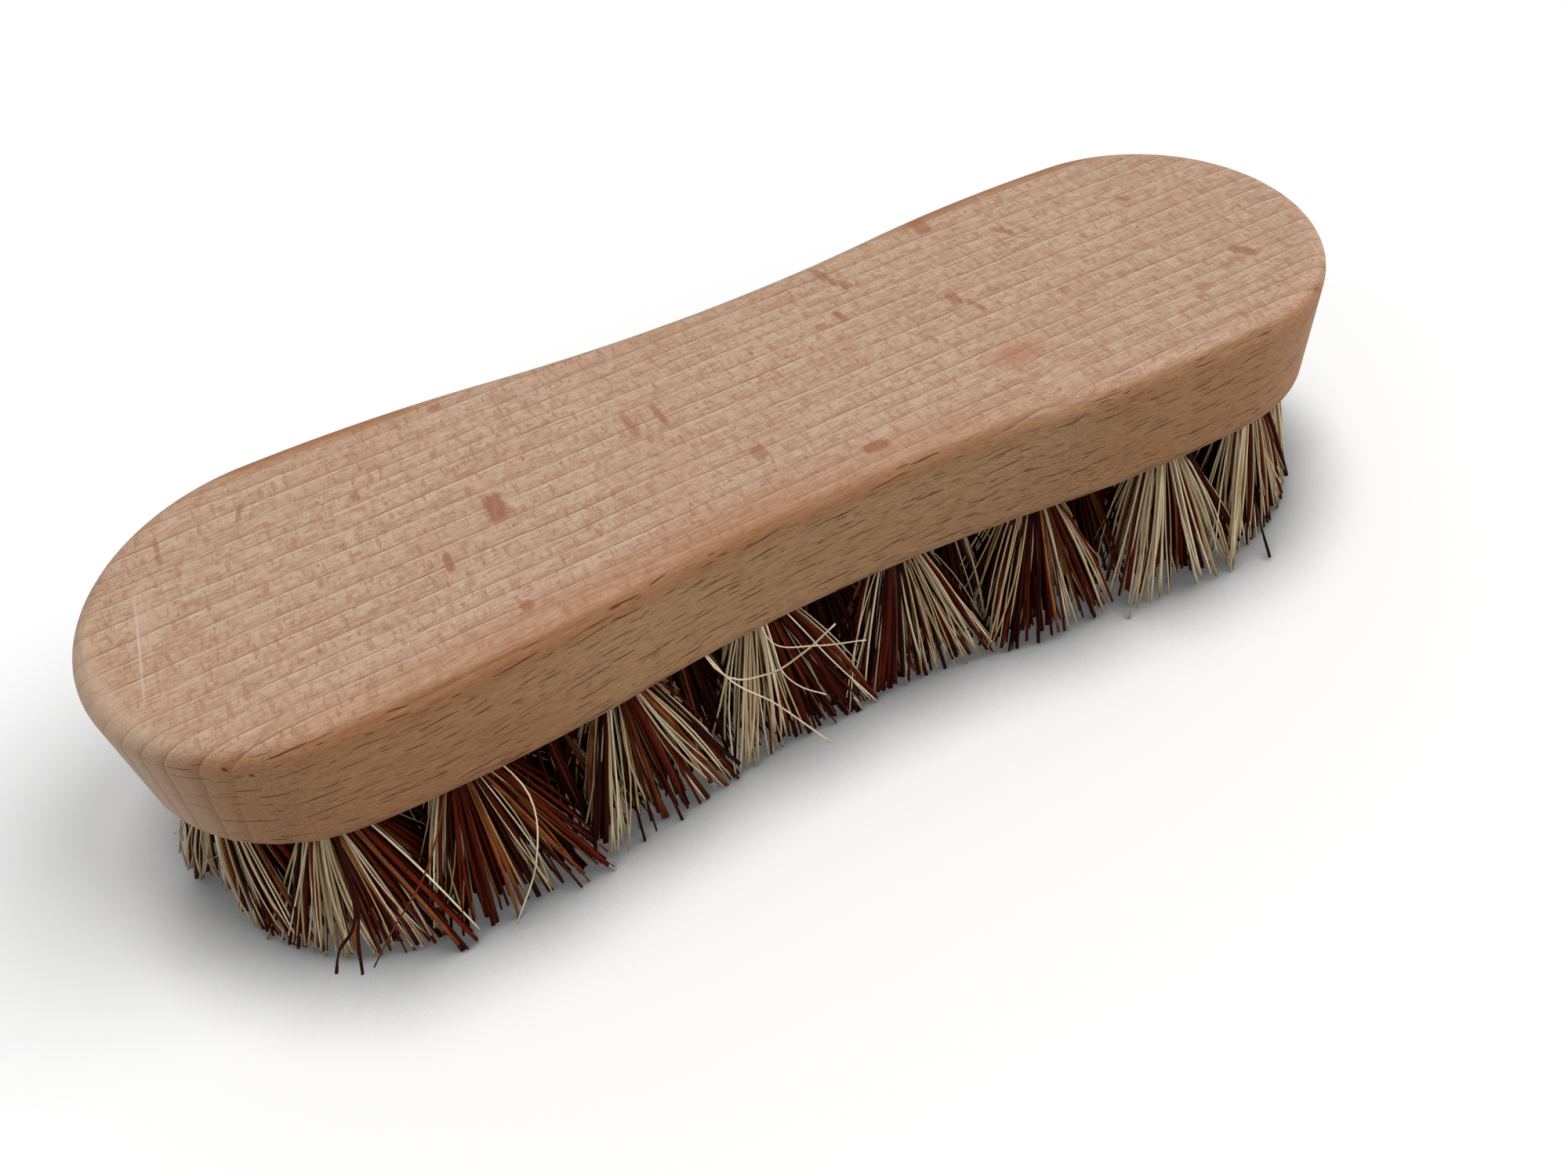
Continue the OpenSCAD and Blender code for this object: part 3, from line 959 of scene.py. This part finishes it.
# %% Sweep the fibres
def sweep(path, width, flat, twist, sides):
    """Rings of points along a path, each a flattened ring that turns slowly."""
    way = np.gradient(path, axis=0)
    way /= np.linalg.norm(way, axis=1)[:, None]
    side = np.cross(way, (0.0, 1.0, 0.0))
    side /= np.linalg.norm(side, axis=1)[:, None]
    other = np.cross(way, side)
    rings = []
    for k, (centre, s, o) in enumerate(zip(path, side, other)):
        angles = np.arange(sides) * 2 * math.pi / sides
        a, b = np.cos(angles) * width / 2, np.sin(angles) * width / 2 * flat
        turn = twist[0] + twist[1] * k
        u = a * math.cos(turn) - b * math.sin(turn)
        v = a * math.sin(turn) + b * math.cos(turn)
        rings.append(centre + u[:, None] * s + v[:, None] * o)
    return np.concatenate(rings)


def tube_faces(first, rows, sides):
    """Faces of one closed tube whose points start at first: its wall, then both cut ends."""
    faces = []
    for row in range(rows - 1):
        for i in range(sides):
            a, b = first + row * sides + i, first + row * sides + (i + 1) % sides
            faces.append((a, a + sides, b + sides, b))
    last = first + (rows - 1) * sides
    faces.append(tuple(range(first, first + sides)))
    faces.append(tuple(range(last + sides - 1, last - 1, -1)))
    return faces


# %% Make the tufts
FLATNESS = {"pale": (0.7, 0.95), "dark": (0.35, 0.75)}
SIDES = {"pale": 5, "dark": 6}
TWIST = 0.12
TUFT_STEP = 0.37


def tuft_mesh(name, index):
    """All the fibres of one tuft as one piece, each point marked with its kind, tone and place."""
    rng = np.random.default_rng(1000 + index)
    paths, widths, kinds, tones = (list(part) for part in tuft_paths(name, rng))
    for path, width, kind in loose_ones(name):
        paths.append(path)
        widths.append(width)
        kinds.append(kind)
        tones.append(LOOSE_TONE)
    points, faces, smooth = [], [], []
    kind_at, tone_at, place_at = [], [], []
    total = 0
    for number, (path, width, kind, tone) in enumerate(zip(paths, widths, kinds, tones)):
        shape = "pale" if kind == PALE else "dark"
        sides, rows = SIDES[shape], len(path)
        flat = rng.uniform(*FLATNESS[shape])
        tube = sweep(path, width, flat, (rng.uniform(0, FULL_TURN), rng.normal(0, TWIST)), sides)
        tube[:, 2] = np.maximum(tube[:, 2], 0.0)
        points.append(tube)
        faces += tube_faces(total, rows, sides)
        smooth += [True] * (rows - 1) * sides + [False, False]
        kind_at += [kind] * len(tube)
        tone_at += [tone] * len(tube)
        run = np.concatenate([[0], np.cumsum(np.linalg.norm(np.diff(path, axis=0), axis=1))])
        for row in range(rows):
            place_at += [(i / sides, run[row], number + index * TUFT_STEP) for i in range(sides)]
        total += len(tube)
    piece = new_piece(name.replace("_tuft_", "_bristles_"), np.concatenate(points), faces, fibre_finish)
    piece.data.polygons.foreach_set("use_smooth", smooth)
    note_points(piece, "kind", kind_at)
    note_points(piece, "tone", tone_at)
    note_points(piece, "strand_place", place_at, "FLOAT_VECTOR")
    return piece


fibre_total = 0
for index, name in enumerate(tuft_names):
    piece = tuft_mesh(name, index)
    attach(piece, "root")
    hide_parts(name)
    fibre_total += len(piece.data.polygons)
print("tufts:", len(tuft_names), "faces:", fibre_total)

# %% [markdown]
# ## The staples
# The staples are already true in the frame: bright wire, bent to a hairpin. They only
# need a steel finish, with the fine lines that a drawing die leaves along a wire.


# %% The steel finish
def staple_steel():
    steel = Finish("staple_steel")
    place = steel.node("ShaderNodeTexCoord", {}, {}, output="Object") * (1 / MM)
    x, y, z = place.parts()
    lines = steel.noise(steel.vector(x * 9.0, y * 9.0, z * 0.8), detail=3.0)
    return steel.surface(
        {
            "Base Color": steel.mix(srgb(190, 191, 194), srgb(140, 138, 136), lines.between(0.4, 0.7)),
            "Metallic": 1.0,
            "Roughness": lines * 0.2 + 0.25,
            "Normal": steel.bump(lines, 0.02 * MM, 0.5),
        }
    )


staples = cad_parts["anchor_staples"]
staples.data.materials.clear()
staples.data.materials.append(staple_steel())
print("staple slots:", len(staples.data.materials))

# %% [markdown]
# ## Floor and light
# The brush stands on a plain white floor. Camera rays see the floor as white, and what
# bounces off it onto the brush is less, so the shade between the fibres stays deep. Close
# to the fibres the floor's white is darkened by ambient occlusion: a painted contact shadow.
# The key light comes from the right and a little in front, and throws the shadow to the left.
# Two weak ones open up the near side and the left end.


# %% The floor
FLOOR_HALF = 3000.0
FLOOR_GLOW = 0.09
# Reach and strength of the painted contact shadow round the brush
PAINTED_SHADOW_REACH, PAINTED_SHADOW_DEPTH = 17 * MM, 3.0
BOUNCE = (92, 92, 92)


def floor_finish():
    floor = Finish("floor")
    rays = [floor.node("ShaderNodeLightPath", {}, {}, output=o) for o in ("Is Camera Ray", "Is Glossy Ray")]
    seen = floor.node("ShaderNodeMath", {"operation": "MAXIMUM"}, {0: rays[0], 1: rays[1]})
    cloud = floor.noise(floor.node("ShaderNodeTexCoord", {}, {}, output="Object"), 3.0)
    # Painted contact shadow: ambient occlusion darkens the floor's white near the brush
    sockets = {"Distance": PAINTED_SHADOW_REACH}
    painted_shadow_ao = floor.node("ShaderNodeAmbientOcclusion", {"samples": 16}, sockets, output="AO")
    white = floor.mix(srgb(255, 255, 255), srgb(253, 253, 253), cloud)
    white = floor.mix(srgb(0, 0, 0), white, painted_shadow_ao.power(PAINTED_SHADOW_DEPTH))
    colour = floor.mix(srgb(*BOUNCE), white, seen)
    glow = floor.mix(srgb(0, 0, 0), (FLOOR_GLOW, FLOOR_GLOW, FLOOR_GLOW, 1.0), seen)
    sockets = {"Base Color": colour, "Roughness": 1.0, "Specular IOR Level": 0.0}
    return floor.surface({**sockets, "Emission Color": glow, "Emission Strength": 1.0})


corners = [(FLOOR_HALF * x, FLOOR_HALF * y, 0) for x, y in ((-1, -1), (1, -1), (1, 1), (-1, 1))]
floor = new_piece("floor", corners, [(0, 1, 2, 3)], floor_finish())


# %% The lights
def soft_sun(name, towards, strength, spread):
    """Light from a direction, softer as its spread in degrees grows."""
    sun = bpy.data.lights.new(name, "SUN")
    sun.energy, sun.angle = strength, math.radians(spread)
    lamp = bpy.data.objects.new(name, sun)
    lamp.rotation_euler = Vector(towards).to_track_quat("Z", "Y").to_euler()
    bpy.context.scene.collection.objects.link(lamp)


soft_sun("key_light", (0.66, -0.26, 0.70), 1.90, 40)
soft_sun("front_light", (-0.15, -0.93, 0.33), 0.16, 60)
soft_sun("left_light", (-0.90, -0.25, 0.30), 0.40, 60)

# The room lights the brush from all sides, and the camera sees it as white
ROOM_LIGHT = 0.47
world = bpy.data.worlds.new("room")
bpy.context.scene.world = world
world.use_nodes = True
room = world.node_tree
room.nodes.clear()
sky = room.nodes.new("ShaderNodeBackground")
sky.inputs["Strength"].default_value = ROOM_LIGHT
white = room.nodes.new("ShaderNodeBackground")
rays = room.nodes.new("ShaderNodeLightPath")
either = room.nodes.new("ShaderNodeMixShader")
out = room.nodes.new("ShaderNodeOutputWorld")
for source, target in (
    (rays.outputs["Is Camera Ray"], either.inputs[0]),
    (sky.outputs[0], either.inputs[1]),
    (white.outputs[0], either.inputs[2]),
    (either.outputs[0], out.inputs[0]),
):
    room.links.new(source, target)
sky.inputs["Color"].default_value = white.inputs["Color"].default_value = (1, 1, 1, 1)
bpy.context.scene.view_settings.view_transform = "Standard"
